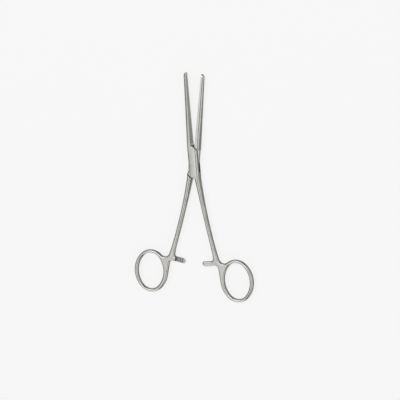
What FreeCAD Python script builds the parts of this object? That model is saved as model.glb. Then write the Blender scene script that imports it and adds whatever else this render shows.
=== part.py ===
"""Box-lock dressing forceps: two crossed halves on one pivot pin.

Each half is drawn closed, with its jaw at x < 0 and its shank at x > 0, and is
then turned about the pivot to the open position. The tongue half is the same
drawing turned over, so both halves share the jaw, shank, ring and ratchet arm
and differ only in the middle: one has a slotted box, the other a thin tongue
that runs through it.
Lengths are millimetres and angles degrees. +Y runs to the jaw tips and +Z is up
from the surface that the forceps lies on.
"""

import FreeCAD, Part
import math
import os

import Sketcher

from FreeCAD import Placement, Rotation, Vector

SIZES = {
    # Opening between the halves, each side of the closing plane
    "open_half_angle": 5.3,
    # Box lock
    "box_width": 9.5,
    "box_thickness": 6.8,
    "box_edge_round": 2.2,
    "box_inner_reach": 14.3,
    "box_outer_reach": 10.8,
    "slot_thickness": 2.4,
    "tongue_face_gap": 0.05,
    "waist_radius": 10.2,
    "waist_gap": 0.15,
    "shoulder_gap": 0.3,
    "box_chamfer": 0.25,
    "root_block_lap": 2.0,
    "cutter_lap": 0.5,
    # Pivot pin
    "pin_diameter": 3.0,
    "pin_running_gap": 0.04,
    "pin_recess": 0.05,
    # Jaws
    "jaw_length": 78.0,
    "jaw_middle_reach": 44.0,
    "jaw_middle_depth": 4.0,
    "jaw_middle_thickness": 4.9,
    "jaw_middle_round": 2.1,
    "jaw_end_depth": 2.9,
    "jaw_end_thickness": 3.3,
    "jaw_end_round": 1.4,
    "jaw_root_gap": 0.5,
    "jaw_tip_gap": 0.05,
    "nose_length": 2.6,
    "serration_pitch": 1.0,
    "serration_depth": 0.45,
    "serration_width": 0.9,
    "serration_start": 17.0,
    "serration_end_margin": 1.6,
    # Shanks
    "shank_root_gap": 0.1,
    "shank_waist_reach": 58.0,
    "shank_waist_offset": 8.36,
    "shank_waist_width": 3.8,
    "shank_waist_thickness": 4.2,
    "shank_waist_round": 1.75,
    "shank_foot_reach": 80.0,
    "shank_foot_offset": 12.5,
    "shank_foot_width": 4.3,
    # Finger rings
    "ring_offset": 32.1,
    "ring_reach": 103.7,
    "ring_lean": 1.3,
    "ring_hole_width": 24.2,
    "ring_hole_length": 31.6,
    "ring_hole_end_radius": 10.0,
    "ring_end_radius": 14.0,
    "ring_near_limb": 4.1,
    "ring_far_limb": 3.6,
    "ring_end_limb": 2.9,
    "ring_thickness": 3.8,
    "ring_edge_round": 1.4,
    # Yoke between shank, ring and ratchet arm
    "yoke_start_lap": 1.0,
    "yoke_lip": 0.06,
    "yoke_reach": 85.0,
    "yoke_inner_offset": 10.6,
    "yoke_outer_offset": 16.0,
    "yoke_limb_lean": 5.0,
    "yoke_outer_round": 5.0,
    "yoke_lower_round": 3.0,
    "yoke_upper_round": 1.8,
    # Ratchet arms
    "arm_reach": 89.1,
    "arm_height": 4.4,
    "arm_end_gap": 0.12,
    "arm_face_gap": 0.12,
    "arm_root": 9.3,
    "tooth_count": 3,
    "tooth_pitch": 2.2,
    "tooth_height": 0.75,
    "arm_nose_length": 2.3,
    "arm_nose_ramp": 1.3,
    "tooth_crest": 0.55,
}

# How far round the jaw's nose each of its cross-sections lies, in degrees
NOSE_ANGLES = (0, 30, 54, 72, 82)
# How many straight spans follow the shank's bow on either side of its waist
FOOT_SPANS = 3
ROOT_SPANS = 5
# How far from a plane a point may lie and still count as on it
ON_PLANE = 1e-4


def make_sheet(doc: FreeCAD.Document) -> object:
    """Put every driving dimension in a spreadsheet cell with its own alias."""
    sheet = doc.addObject("Spreadsheet::Sheet", "Sizes")
    for row, (alias, value) in enumerate(SIZES.items(), start=1):
        sheet.set(f"A{row}", alias)
        sheet.set(f"B{row}", str(value))
        sheet.setAlias(f"B{row}", alias)
    doc.recompute()
    return sheet


doc = FreeCAD.newDocument("DressingForceps")
sheet = make_sheet(doc)


class Oval:
    """An oval of four arcs, two at its ends and two along its sides, as expressions."""

    def __init__(self, centre: tuple, width: str, length: str, end_radius: str, lean: str):
        """Work out the arcs.

        Args:
            centre: the oval's centre, across and along.
            width, length: its short and long diameters.
            end_radius: the radius of its two ends.
            lean: how far its long axis leans from the drawing's vertical, in degrees.
        """
        self.across, self.along = centre
        self.lean = lean
        half = f"(({width}) / 2)"
        rise = f"(({length}) / 2 - {end_radius})"
        side = f"(({half} ^ 2 + {rise} ^ 2 - {end_radius} ^ 2) / (2 * ({half} - {end_radius})))"
        self.radii = [side, end_radius, side, end_radius]
        reach = f"({side} - {half})"
        self.centres = [
            self.shifted(f"-{reach}", "0"),
            self.shifted("0", rise),
            self.shifted(reach, "0"),
            self.shifted("0", f"-{rise}"),
        ]

    def shifted(self, sideways: str, lengthways: str) -> tuple:
        """Give a point by its distances from the centre along the oval's own axes."""
        across = f"({self.across} + {sideways} * cos({self.lean}) + {lengthways} * sin({self.lean}))"
        along = f"({self.along} - {sideways} * sin({self.lean}) + {lengthways} * cos({self.lean}))"
        return across, along


def towards(start: Vector, target: Vector, distance: float) -> Vector:
    """Give the point at a distance from a start, on the way to a target."""
    return start + (target - start).normalize() * distance


def along_line(start: Vector, direction: Vector, centre: Vector, distance: float, last: bool) -> Vector:
    """Give the first or the last point of a line that lies at a distance from a centre."""
    offset = start - centre
    middle = -offset.dot(direction)
    spread = math.sqrt(middle ** 2 - offset.dot(offset) + distance ** 2)
    return start + direction * (middle + spread if last else middle - spread)


class Drawing:
    """A sketch on one of a body's origin planes, sized by expressions."""

    def __init__(self, body: object, name: str, plane: str, offset: str = "0"):
        self.sketch = body.newObject("Sketcher::SketchObject", name)
        support = next(item for item in body.Origin.OriginFeatures if item.Role == plane)
        self.sketch.AttachmentSupport = [(support, "")]
        self.sketch.MapMode = "FlatFace"
        self.sketch.setExpression("AttachmentOffset.Base.z", offset)
        doc.recompute()

    def value(self, expression: str) -> float:
        """Work out an expression on the sheet's aliases."""
        return float(self.sketch.evalExpression(expression))

    def bind(self, constraint: Sketcher.Constraint, expression: str) -> None:
        """Add a dimension whose value follows an expression."""
        index = self.sketch.addConstraint(constraint)
        self.sketch.setExpression(f"Constraints[{index}]", expression)

    def place(self, geometry: int, vertex: int, across: str, along: str) -> None:
        """Hold a vertex at two distances from the sketch's origin."""
        self.bind(Sketcher.Constraint("DistanceX", -1, 1, geometry, vertex, self.value(across)), across)
        self.bind(Sketcher.Constraint("DistanceY", -1, 1, geometry, vertex, self.value(along)), along)

    def polygon(self, corners: list) -> None:
        """Draw a closed outline through corners given as pairs of expressions."""
        points = [Vector(self.value(across), self.value(along), 0) for across, along in corners]
        lines = []
        for start, end in zip(points, points[1:] + points[:1]):
            lines.append(self.sketch.addGeometry(Part.LineSegment(start, end), False))
        for line, following in zip(lines, lines[1:] + lines[:1]):
            self.sketch.addConstraint(Sketcher.Constraint("Coincident", line, 2, following, 1))
        for line, (across, along) in zip(lines, corners):
            self.place(line, 1, across, along)

    def bind_angle(self, line: int, expression: str) -> None:
        """Hold a line at an angle from the horizontal, given with its unit."""
        angle = math.radians(self.value(expression))
        self.bind(Sketcher.Constraint("Angle", line, angle), expression)

    def circle(self, radius: str) -> None:
        """Draw a circle about the pivot axis."""
        circle = self.sketch.addGeometry(
            Part.Circle(Vector(0, 0, 0), Vector(0, 0, 1), self.value(radius)), False
        )
        self.sketch.addConstraint(Sketcher.Constraint("Coincident", circle, 3, -1, 1))
        self.bind(Sketcher.Constraint("Radius", circle, self.value(radius)), radius)

    def point(self, place: tuple) -> Vector:
        """Turn a pair of expressions into a point."""
        return Vector(self.value(place[0]), self.value(place[1]), 0)

    def oval(self, oval: Oval) -> None:
        """Draw an oval of four arcs."""
        outline = Outline(self)
        right, top, left, bottom = [self.point(place) for place in oval.centres]
        side = self.value(oval.radii[0])
        pairs = ((right, bottom), (right, top), (left, top), (left, bottom))
        joints = [towards(*pair, side) for pair in pairs]
        arcs = []
        for centre, start, end in zip((right, top, left, bottom), joints, joints[1:] + joints[:1]):
            arcs.append(outline.arc(centre, start, end))
        outline.close()
        for arc, radius in zip(arcs, oval.radii):
            self.bind(Sketcher.Constraint("Radius", arc, self.value(radius)), radius)
        for index in (1, 3):
            self.place(arcs[index], 3, *oval.centres[index])

    def waist(self, side: str, rise: str, radius: str) -> None:
        """Draw a disc about the pivot axis, cut straight at both sides.

        Args:
            side: how far each straight side lies from the pivot axis.
            rise: half the height of the straight sides.
            radius: the disc's radius.
        """
        half, height, size = [self.value(part) for part in (side, rise, radius)]
        pivot = Vector(0, 0, 0)
        outline = Outline(self)
        top = outline.arc(pivot, Vector(half, height, 0), Vector(-half, height, 0))
        left_side = outline.line(Vector(-half, height, 0), Vector(-half, -height, 0))
        bottom = outline.arc(pivot, Vector(-half, -height, 0), Vector(half, -height, 0))
        right_side = outline.line(Vector(half, -height, 0), Vector(half, height, 0))
        outline.close(corners=(top, left_side, bottom, right_side))
        for arc in (top, bottom):
            self.sketch.addConstraint(Sketcher.Constraint("Coincident", arc, 3, -1, 1))
            self.bind(Sketcher.Constraint("Radius", arc, size), radius)
        for line, place in ((left_side, f"-{side}"), (right_side, side)):
            self.sketch.addConstraint(Sketcher.Constraint("Vertical", line))
            self.bind(Sketcher.Constraint("DistanceX", -1, 1, line, 1, self.value(place)), place)

    def rounded_section(self, left: str, right: str, thickness: str, radius: str) -> None:
        """Draw a bar's cross-section, with all four corners rounded alike.

        Args:
            left, right: where its sides lie across the forceps.
            thickness: its height, centred on the middle plane.
            radius: the corner radius.
        """
        low, high, half, size = [self.value(part) for part in (left, right, f"({thickness}) / 2", radius)]
        outline = Outline(self)
        corners = [
            (Vector(high - size, half - size, 0), Vector(0, size, 0), Vector(size, 0, 0)),
            (Vector(low + size, half - size, 0), Vector(-size, 0, 0), Vector(0, size, 0)),
            (Vector(low + size, size - half, 0), Vector(0, -size, 0), Vector(-size, 0, 0)),
            (Vector(high - size, size - half, 0), Vector(size, 0, 0), Vector(0, -size, 0)),
        ]
        arcs = []
        flats = []
        for number, (centre, last, first) in enumerate(corners):
            following = corners[(number + 1) % 4]
            arcs.append(outline.arc(centre, centre + first, centre + last))
            flats.append(outline.line(centre + last, following[0] + following[2]))
        outline.close()
        self.hold_section(flats, left, right, thickness)
        for arc in arcs:
            self.bind(Sketcher.Constraint("Radius", arc, size), radius)

    def half_round_section(self, left: str, right: str, thickness: str, left_round: str) -> None:
        """Draw a bar's cross-section, rounded at its left side and sharp at its right.

        Args:
            left, right: where its sides lie across the forceps.
            thickness: its height, centred on the middle plane.
            left_round: the corner radius of the left side.
        """
        half = self.value(thickness) / 2
        low, high, near = [self.value(size) for size in (left, right, left_round)]
        outline = Outline(self)
        top = outline.line(Vector(high, half, 0), Vector(low + near, half, 0))
        centre = Vector(low + near, half - near, 0)
        upper_arc = outline.arc(centre, centre + Vector(0, near, 0), centre - Vector(near, 0, 0))
        left_side = outline.line(centre - Vector(near, 0, 0), Vector(low, near - half, 0))
        centre = Vector(low + near, near - half, 0)
        lower_arc = outline.arc(centre, centre - Vector(near, 0, 0), centre - Vector(0, near, 0))
        bottom = outline.line(centre - Vector(0, near, 0), Vector(high, -half, 0))
        right_side = outline.line(Vector(high, -half, 0), Vector(high, half, 0))
        outline.close(corners=(bottom, right_side))
        self.hold_section([top, left_side, bottom, right_side], left, right, thickness)
        for arc in (upper_arc, lower_arc):
            self.bind(Sketcher.Constraint("Radius", arc, near), left_round)

    def hold_section(self, flats: list, left: str, right: str, thickness: str) -> None:
        """Hold the top, left, bottom and right flats of a cross-section in their places."""
        top, left_side, bottom, right_side = flats
        for flat in (top, bottom):
            self.sketch.addConstraint(Sketcher.Constraint("Horizontal", flat))
        for side in (left_side, right_side):
            self.sketch.addConstraint(Sketcher.Constraint("Vertical", side))
        places = [
            ("DistanceX", left_side, left),
            ("DistanceX", right_side, right),
            ("DistanceY", top, f"({thickness}) / 2"),
            ("DistanceY", bottom, f"-({thickness}) / 2"),
        ]
        for kind, flat, place in places:
            self.bind(Sketcher.Constraint(kind, -1, 1, flat, 1, self.value(place)), place)


class Outline:
    """A closed outline of lines and arcs, each joined smoothly to the next unless told otherwise."""

    def __init__(self, drawing: Drawing):
        self.sketch = drawing.sketch
        self.pieces = []

    def line(self, start: Vector, end: Vector) -> int:
        """Add a straight piece."""
        index = self.sketch.addGeometry(Part.LineSegment(start, end), False)
        self.pieces.append((index, 1, 2))
        return index

    def arc(self, centre: Vector, start: Vector, end: Vector, hollow: bool = False) -> int:
        """Add an arc, which bulges out of the outline, or into it where it is hollow."""
        first, last = (end, start) if hollow else (start, end)
        begin = math.atan2(first.y - centre.y, first.x - centre.x)
        finish = math.atan2(last.y - centre.y, last.x - centre.x)
        if finish <= begin:
            finish += 2 * math.pi
        circle = Part.Circle(centre, Vector(0, 0, 1), (start - centre).Length)
        index = self.sketch.addGeometry(Part.ArcOfCircle(circle, begin, finish), False)
        self.pieces.append((index, 2, 1) if hollow else (index, 1, 2))
        return index

    def close(self, corners: tuple = ()) -> None:
        """Join each piece to the next, with a corner after the pieces named as such."""
        for piece, following in zip(self.pieces, self.pieces[1:] + self.pieces[:1]):
            kind = "Coincident" if piece[0] in corners else "Tangent"
            joint = (piece[0], piece[2], following[0], following[1])
            self.sketch.addConstraint(Sketcher.Constraint(kind, *joint))


def add_feature(body: object, kind: str, name: str, drawing: Drawing, **expressions: str) -> object:
    """Add a feature made from one drawing, with its sizes bound to the sheet."""
    feature = body.newObject(f"PartDesign::{kind}", name)
    feature.Profile = drawing.sketch
    for key, expression in expressions.items():
        feature.setExpression(key, expression)
    return feature


def pad_both_ways(body: object, name: str, drawing: Drawing, length: str) -> object:
    """Pad a drawing equally to both sides of its plane."""
    pad = add_feature(body, "Pad", name, drawing, Length=length)
    pad.SideType = "Symmetric"
    doc.recompute()
    return pad


def cut_both_ways(body: object, name: str, drawing: Drawing, length: str) -> object:
    """Cut a drawing equally to both sides of its plane."""
    cut = add_feature(body, "Pocket", name, drawing, Length=length)
    cut.SideType = "Symmetric"
    doc.recompute()
    return cut


def loft(body: object, name: str, drawings: list) -> object:
    """Join drawings by one solid, straight from each to the next."""
    feature = body.newObject("PartDesign::AdditiveLoft", name)
    feature.Profile = drawings[0].sketch
    feature.Sections = [(drawing.sketch, [""]) for drawing in drawings[1:]]
    feature.Ruled = True
    doc.recompute()
    return feature


def ring_outline(near_limb: str, far_limb: str, end_limb: str, end_radius: str) -> Oval:
    """Give the oval that lies a limb's width outside the finger hole on each side."""
    return Oval(
        (f"(Sizes.ring_offset + ({far_limb} - {near_limb}) / 2)", "(-Sizes.ring_reach)"),
        f"Sizes.ring_hole_width + {near_limb} + {far_limb}",
        f"Sizes.ring_hole_length + 2 * {end_limb}",
        end_radius,
        "Sizes.ring_lean",
    )


def yoke_side(offset: str, sign: str) -> tuple:
    """Give the start and the slope of one straight side of the yoke.

    The side runs from inside the shank's foot through the foot's own edge.

    Args:
        offset: where the side lies at the yoke's reach.
        sign: "-" for the side towards the other half, "+" for the side away from it.
    """
    foot_edge = f"(Sizes.shank_foot_offset {sign} Sizes.shank_foot_width / 2)"
    slope = f"(({offset} - {foot_edge}) / (Sizes.yoke_reach - Sizes.shank_foot_reach))"
    across = f"({foot_edge} - {slope} * Sizes.yoke_start_lap)"
    return (across, "(Sizes.yoke_start_lap - Sizes.shank_foot_reach)"), slope


def draw_head(drawing: Drawing) -> None:
    """Draw the outline of the yoke, the ratchet arm and the ring in one."""
    ring = ring_outline(
        "Sizes.ring_near_limb", "Sizes.ring_far_limb", "Sizes.ring_end_limb", "Sizes.ring_end_radius"
    )
    inner_foot, inner_slope = yoke_side("Sizes.yoke_inner_offset", "-")
    outer_foot, outer_slope = yoke_side("Sizes.yoke_outer_offset", "+")
    arm_upper = "(Sizes.arm_reach - Sizes.arm_height / 2)"
    arm_lower = "(Sizes.arm_reach + Sizes.arm_height / 2)"
    arm_end = "(Sizes.arm_end_gap + Sizes.arm_height / 2)"

    value = drawing.value
    pivot = Vector(0, 0, 0)
    right, top, left, bottom = [drawing.point(place) for place in ring.centres]
    side = value(ring.radii[0])
    end = value(ring.radii[1])
    outer_round = value("Sizes.yoke_outer_round")
    upper_round = value("Sizes.yoke_upper_round")
    lower_round = value("Sizes.yoke_lower_round")

    inner_start = drawing.point(inner_foot)
    outer_start = drawing.point(outer_foot)
    inner_way = Vector(value(inner_slope), -1, 0).normalize()
    outer_way = Vector(value(outer_slope), -1, 0).normalize()
    inwards = Vector(inner_way.y, -inner_way.x, 0)
    outwards = Vector(-outer_way.y, outer_way.x, 0)
    upper_corner = along_line(
        inner_start + inwards * upper_round, inner_way, pivot, value(arm_upper) - upper_round, True
    )
    arm_tip = Vector(value(arm_end), -math.sqrt(value("Sizes.arm_reach") ** 2 - value(arm_end) ** 2), 0)
    lean = math.radians(value("Sizes.yoke_limb_lean"))
    limb_side = Vector(-math.cos(lean), -math.sin(lean), 0)
    limb_way = Vector(-math.sin(lean), math.cos(lean), 0)
    limb_start = left + limb_side * side
    lower_corner = along_line(
        limb_start + limb_side * lower_round, limb_way, pivot, value(arm_lower) + lower_round, False
    )
    notch = along_line(outer_start + outwards * outer_round, outer_way, top, end + outer_round, False)

    upper_start = upper_corner - inwards * upper_round
    upper_end = towards(pivot, upper_corner, value(arm_upper))
    tip_start = towards(pivot, arm_tip, value(arm_upper))
    tip_end = towards(pivot, arm_tip, value(arm_lower))
    lower_start = towards(pivot, lower_corner, value(arm_lower))
    lower_end = lower_corner - limb_side * lower_round

    outline = Outline(drawing)
    foot = outline.line(outer_start, inner_start)
    inner_line = outline.line(inner_start, upper_start)
    upper_arc = outline.arc(upper_corner, upper_start, upper_end, hollow=True)
    arm_upper_arc = outline.arc(pivot, upper_end, tip_start, hollow=True)
    tip_arc = outline.arc(arm_tip, tip_start, tip_end)
    arm_lower_arc = outline.arc(pivot, tip_end, lower_start)
    lower_arc = outline.arc(lower_corner, lower_start, lower_end, hollow=True)
    limb_line = outline.line(lower_end, limb_start)
    near_arc = outline.arc(left, limb_start, towards(left, bottom, side))
    bottom_arc = outline.arc(bottom, towards(left, bottom, side), towards(right, bottom, side))
    far_arc = outline.arc(right, towards(right, bottom, side), towards(right, top, side))
    top_arc = outline.arc(top, towards(right, top, side), towards(top, notch, end))
    notch_arc = outline.arc(notch, towards(top, notch, end), notch - outwards * outer_round, hollow=True)
    outer_line = outline.line(notch - outwards * outer_round, outer_start)
    outline.close(corners=(foot, outer_line))

    drawing.place(foot, 1, *outer_foot)
    drawing.place(foot, 2, *inner_foot)
    for arc in (arm_upper_arc, arm_lower_arc):
        drawing.sketch.addConstraint(Sketcher.Constraint("Coincident", arc, 3, -1, 1))
    radii = {
        upper_arc: "Sizes.yoke_upper_round",
        arm_upper_arc: arm_upper,
        arm_lower_arc: arm_lower,
        lower_arc: "Sizes.yoke_lower_round",
        near_arc: ring.radii[0],
        bottom_arc: ring.radii[1],
        far_arc: ring.radii[0],
        top_arc: ring.radii[1],
        notch_arc: "Sizes.yoke_outer_round",
    }
    for arc, radius in radii.items():
        drawing.bind(Sketcher.Constraint("Radius", arc, value(radius)), radius)
    drawing.bind(Sketcher.Constraint("DistanceX", -1, 1, tip_arc, 3, value(arm_end)), arm_end)
    drawing.bind(Sketcher.Constraint("DistanceX", -1, 1, near_arc, 3, left.x), ring.centres[2][0])
    drawing.place(bottom_arc, 3, *ring.centres[3])
    drawing.place(top_arc, 3, *ring.centres[1])
    drawing.bind_angle(inner_line, f"-90 deg + atan({inner_slope})")
    drawing.bind_angle(outer_line, f"90 deg + atan({outer_slope})")
    drawing.bind_angle(limb_line, "-90 deg + Sizes.yoke_limb_lean * 1 deg")


def add_head(body: object) -> None:
    """Make the finger ring, the yoke and the blank of the ratchet arm, with every edge taken off."""
    outline = Drawing(body, "HeadOutline", "XY_Plane")
    draw_head(outline)
    pad_both_ways(body, "Head", outline, "Sizes.ring_thickness")

    hole = Drawing(body, "FingerHoleOutline", "XY_Plane")
    hole.oval(ring_outline("0", "0", "0", "Sizes.ring_hole_end_radius"))
    cut = cut_both_ways(body, "FingerHole", hole, "2 * Sizes.ring_thickness")

    middle = take_off_rims(body, "MiddleFacets", cut, "Sizes.ring_edge_round * (2 - sqrt(2))")
    take_off_rims(body, "SideFacets", middle, "Sizes.ring_edge_round * (tan(22.5) - tan(11.25))")


def take_off_rims(body: object, name: str, base: object, size: str) -> object:
    """Chamfer each level edge of the head, other than at the end that is inside the shank.

    Two of these in turn give three flat facets that touch a round of the edge.
    """
    hidden_end = float(sheet.yoke_start_lap) - float(sheet.shank_foot_reach)
    rim = [
        f"Edge{index}"
        for index, edge in enumerate(base.Shape.Edges, start=1)
        if edge.BoundBox.ZLength < ON_PLANE and edge.BoundBox.YMin < hidden_end - ON_PLANE
    ]
    chamfer = body.newObject("PartDesign::Chamfer", name)
    chamfer.Base = (base, rim)
    chamfer.setExpression("Size", size)
    doc.recompute()
    return chamfer


def parabola(reach: str, points: list) -> str:
    """Give the value at a reach of the parabola through three (reach, value) pairs."""
    terms = []
    for place, value in points:
        others = [other for other, _ in points if other != place]
        shares = [f"({reach} - {other}) / ({place} - {other})" for other in others]
        terms.append(f"{value} * {shares[0]} * {shares[1]}")
    return f"({' + '.join(terms)})"


def add_shank(body: object) -> None:
    """Make the shank, a bowed bar that is slimmest between the box lock and the yoke."""
    root = "Sizes.box_inner_reach"
    waist = "Sizes.shank_waist_reach"
    foot = "Sizes.shank_foot_reach"
    root_offset = "(Sizes.box_width / 4 + Sizes.shank_root_gap / 2)"
    points = [(root, root_offset), (waist, "Sizes.shank_waist_offset"), (foot, "Sizes.shank_foot_offset")]
    root_width = "(Sizes.box_width / 2 - Sizes.shank_root_gap)"
    root_section = [root_width, "Sizes.box_thickness", "Sizes.box_edge_round"]
    waist_section = ["Sizes.shank_waist_width", "Sizes.shank_waist_thickness", "Sizes.shank_waist_round"]
    foot_section = [
        "(Sizes.shank_foot_width + 2 * Sizes.yoke_lip)",
        "(Sizes.ring_thickness + 2 * Sizes.yoke_lip)",
        "(Sizes.ring_edge_round + Sizes.yoke_lip)",
    ]
    stretches = [(foot, foot_section, FOOT_SPANS), (root, root_section, ROOT_SPANS)]
    drawings = []
    for end, section, count in stretches:
        steps = range(count + 1) if end == foot else range(count - 1, -1, -1)
        for step in steps:
            share = f"({count - step} / {count})"
            reach = f"({waist} + ({end} - {waist}) * {share})"
            middle = parabola(reach, points)
            width, thickness, radius = [
                f"({slim} + ({full} - {slim}) * {share} ^ 2)"
                for slim, full in zip(waist_section, section)
            ]
            drawing = Drawing(body, f"ShankSection{len(drawings)}", "XZ_Plane", reach)
            drawing.rounded_section(f"{middle} - {width} / 2", f"{middle} + {width} / 2", thickness, radius)
            drawings.append(drawing)
    loft(body, "Shank", drawings)


def face_gap(reach: str) -> str:
    """Give the distance of the gripping face from the closing plane at a reach."""
    share = f"(({reach}) - Sizes.box_inner_reach) / (Sizes.jaw_length - Sizes.box_inner_reach)"
    return f"(Sizes.jaw_root_gap + (Sizes.jaw_tip_gap - Sizes.jaw_root_gap) * {share})"


def add_jaw(body: object) -> None:
    """Make the jaw, half-round outside with a flat gripping face and a round nose."""
    nose = "(Sizes.jaw_length - Sizes.nose_length)"
    stations = [
        ("Sizes.box_inner_reach", "Sizes.box_width / 2", "Sizes.box_thickness", "Sizes.box_edge_round"),
        ("Sizes.jaw_middle_reach", "Sizes.jaw_middle_depth", "Sizes.jaw_middle_thickness",
         "Sizes.jaw_middle_round"),
    ]
    for angle in NOSE_ANGLES:
        reach = f"({nose} + Sizes.nose_length * sin({angle}))"
        end = [f"Sizes.jaw_end_{size} * cos({angle})" for size in ("depth", "thickness", "round")]
        stations.append((reach, *end))
    drawings = []
    for reach, depth, thickness, radius in stations:
        drawing = Drawing(body, f"JawSection{len(drawings)}", "XZ_Plane", f"-{reach}")
        drawing.half_round_section(f"-({depth})", f"-{face_gap(reach)}", thickness, radius)
        drawings.append(drawing)
    loft(body, "Jaw", drawings)


def add_serrations(body: object) -> None:
    """Cut the cross grooves along the gripping face."""
    start = "Sizes.serration_start"
    depth = f"-({face_gap(start)} + Sizes.serration_depth)"
    mouth = f"-({face_gap(start)} - Sizes.serration_depth)"
    drawing = Drawing(body, "GrooveOutline", "XY_Plane")
    drawing.polygon([
        (depth, start),
        (mouth, f"{start} + Sizes.serration_width"),
        (mouth, f"{start} - Sizes.serration_width"),
    ])
    slope = drawing.sketch.addGeometry(Part.LineSegment(Vector(0, 0, 0), Vector(0, 1, 0)), True)
    drawing.place(slope, 1, f"-{face_gap(start)}", start)
    drawing.place(slope, 2, "-Sizes.jaw_tip_gap", "Sizes.jaw_length")
    groove = cut_both_ways(body, "Groove", drawing, "2 * Sizes.box_thickness")
    pattern = body.newObject("PartDesign::LinearPattern", "Serrations")
    pattern.Originals = [groove]
    pattern.Direction = (drawing.sketch, ["Axis0"])
    span = "(Sizes.jaw_length - Sizes.serration_start - Sizes.serration_end_margin)"
    steps = f"floor({span} / Sizes.serration_pitch)"
    pattern.setExpression("Length", f"{steps} * Sizes.serration_pitch")
    pattern.setExpression("Occurrences", f"{steps} + 1")
    body.Tip = pattern
    doc.recompute()


def cut_ratchet(body: object) -> None:
    """Cut the ratchet arm's blank back to its own half, with teeth where it meets the other arm."""
    root = "Sizes.arm_root"
    tip = "Sizes.arm_end_gap"
    crest = "Sizes.arm_face_gap"
    trough = "(Sizes.arm_face_gap + Sizes.tooth_height)"
    first = f"({tip} + Sizes.arm_nose_length)"
    clear = "(-Sizes.ring_thickness)"
    corners = [
        (clear, trough),
        (tip, trough),
        (f"{tip} + Sizes.arm_nose_ramp", crest),
        (first, crest),
        (first, trough),
    ]
    for number in range(1, SIZES["tooth_count"] + 1):
        steep = f"({first} + {number} * Sizes.tooth_pitch)"
        corners.append((f"{steep} - Sizes.tooth_crest", crest))
        corners.append((steep, crest))
        corners.append((steep, trough))
    corners.append((root, trough))
    corners.append((root, clear))
    corners.append((clear, clear))
    drawing = Drawing(body, "RatchetProfile", "XZ_Plane", "Sizes.arm_reach")
    drawing.polygon(corners)
    cut_both_ways(body, "Ratchet", drawing, "2 * Sizes.arm_height")


def box_edge_corners(gap: str) -> list:
    """Give the outline between the box's two slanted edges, widened by a gap."""
    slope = "((Sizes.box_inner_reach - Sizes.box_outer_reach) / (Sizes.box_width / 2))"
    far = "Sizes.box_width"
    return [
        (f"-{far}", f"Sizes.box_inner_reach - {slope} * {far} + {gap}"),
        (far, f"Sizes.box_inner_reach + {slope} * {far} + {gap}"),
        (far, f"{slope} * {far} - Sizes.box_inner_reach - {gap}"),
        (f"-{far}", f"-{slope} * {far} - Sizes.box_inner_reach - {gap}"),
    ]


def on_slant(edge: object) -> bool:
    """Tell whether an edge runs round one of the box's slanted faces, other than at its inner end."""
    inner = float(sheet.box_inner_reach)
    slope = (inner - float(sheet.box_outer_reach)) / (float(sheet.box_width) / 2)
    points = [vertex.Point for vertex in edge.Vertexes] + [edge.CenterOfMass]
    for side in (1, -1):
        off_plane = max(abs(side * point.y - inner + slope * side * point.x) for point in points[:2])
        if off_plane < ON_PLANE and side * points[-1].x > ON_PLANE:
            return True
    return False


def add_box(body: object) -> None:
    """Make the box: a rounded block, cut slantwise at two corners."""
    section = Drawing(body, "BoxSection", "XZ_Plane")
    section.rounded_section(
        "-Sizes.box_width / 2", "Sizes.box_width / 2", "Sizes.box_thickness", "Sizes.box_edge_round"
    )
    pad_both_ways(body, "BoxBlock", section, "2 * Sizes.box_inner_reach")
    slope = "((Sizes.box_inner_reach - Sizes.box_outer_reach) / (Sizes.box_width / 2))"
    far = "Sizes.box_width"
    for name, side in (("UpperSlant", "1"), ("LowerSlant", "-1")):
        drawing = Drawing(body, f"{name}Outline", "XY_Plane")
        drawing.polygon([
            (f"-{side} * Sizes.jaw_root_gap", f"{side} * Sizes.box_inner_reach"),
            ("0", f"{side} * Sizes.box_inner_reach"),
            (f"{side} * {far}", f"{side} * (Sizes.box_inner_reach - {slope} * {far})"),
            (f"{side} * {far}", f"{side} * (Sizes.box_inner_reach + Sizes.cutter_lap)"),
            (f"-{side} * Sizes.jaw_root_gap", f"{side} * (Sizes.box_inner_reach + Sizes.cutter_lap)"),
        ])
        cut = cut_both_ways(body, name, drawing, "2 * Sizes.box_thickness")

    rim = [f"Edge{index}" for index, edge in enumerate(cut.Shape.Edges, start=1) if on_slant(edge)]
    chamfer = body.newObject("PartDesign::Chamfer", "SlantChamfer")
    chamfer.Base = (cut, rim)
    chamfer.setExpression("Size", "Sizes.box_chamfer")
    doc.recompute()


def add_slot(body: object) -> None:
    """Cut the slot that the tongue runs and turns in."""
    waist = Drawing(body, "WaistSlotOutline", "XY_Plane")
    waist.circle("Sizes.waist_radius + Sizes.waist_gap")
    cut_both_ways(body, "WaistSlot", waist, "Sizes.slot_thickness")
    far = "Sizes.box_width"
    for name, side in (("UpperSlot", "1"), ("LowerSlot", "-1")):
        drawing = Drawing(body, f"{name}Outline", "XY_Plane")
        drawing.polygon([
            (f"-{side} * Sizes.jaw_root_gap", "0"),
            (f"{side} * {far}", "0"),
            (f"{side} * {far}", f"{side} * (Sizes.box_inner_reach + Sizes.cutter_lap)"),
            (f"-{side} * Sizes.jaw_root_gap", f"{side} * (Sizes.box_inner_reach + Sizes.cutter_lap)"),
        ])
        cut_both_ways(body, name, drawing, "Sizes.slot_thickness")


def add_pin_hole(body: object, diameter: str) -> None:
    """Drill the pivot hole through the body's middle."""
    drawing = Drawing(body, "PinHoleOutline", "XY_Plane")
    drawing.circle(f"({diameter}) / 2")
    cut_both_ways(body, "PinHole", drawing, "2 * Sizes.box_thickness")


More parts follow.
